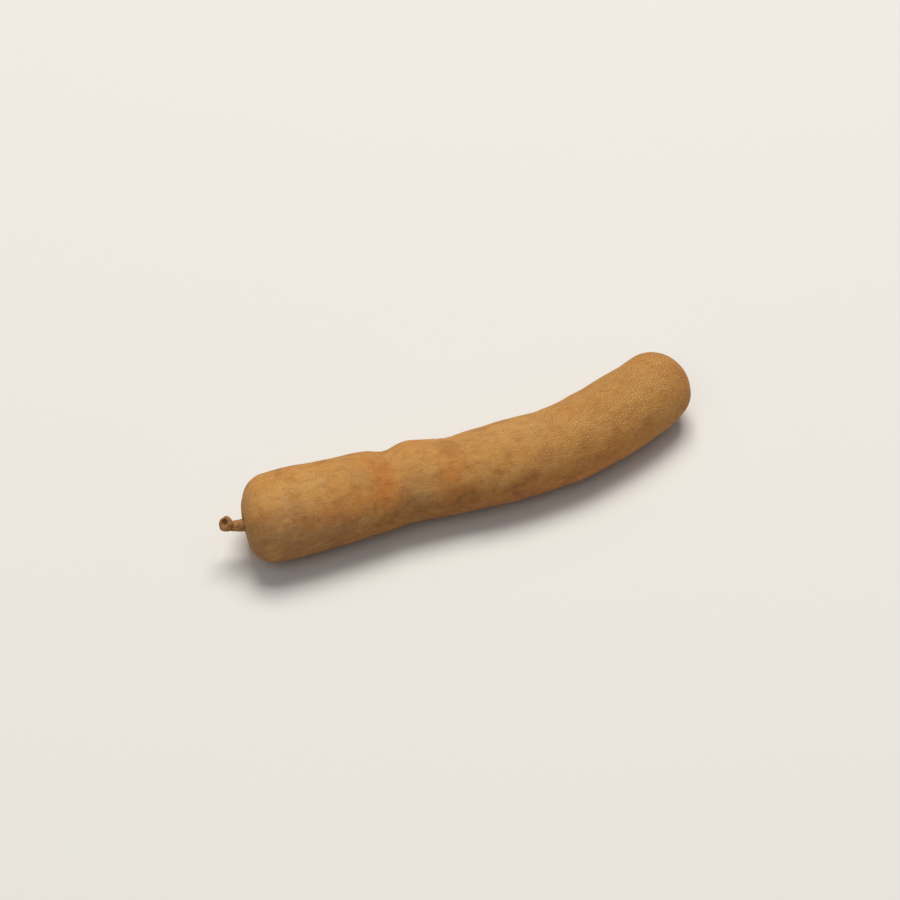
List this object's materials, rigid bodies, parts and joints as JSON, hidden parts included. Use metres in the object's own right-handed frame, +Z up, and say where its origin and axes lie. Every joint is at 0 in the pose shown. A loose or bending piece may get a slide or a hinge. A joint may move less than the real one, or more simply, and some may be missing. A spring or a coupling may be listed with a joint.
{
  "type": "tamarind pod",
  "caption": "Whole tamarind pod in its shell, gently bent, with a broad shoulder, waists between seed chambers, a round tip and a stub of stalk; it lies level on a surface",
  "frame": {"origin": "on the surface the pod lies on, under the middle of its box", "axes": "+X runs from the stalk end to the tip, +Z is up, -Y is the outside of the pod's bend"},
  "size_m": [0.1532, 0.0342, 0.0259],
  "materials": {
    "pod_shell": "brittle dry tan shell with a fine dusty scurf, dull",
    "stalk_wood": "dry brown fibrous stalk, broken off, dull"
  },
  "bodies": {
    "root": {"pod": "pod_shell", "stalk": "stalk_wood"}
  },
  "joints": []
}
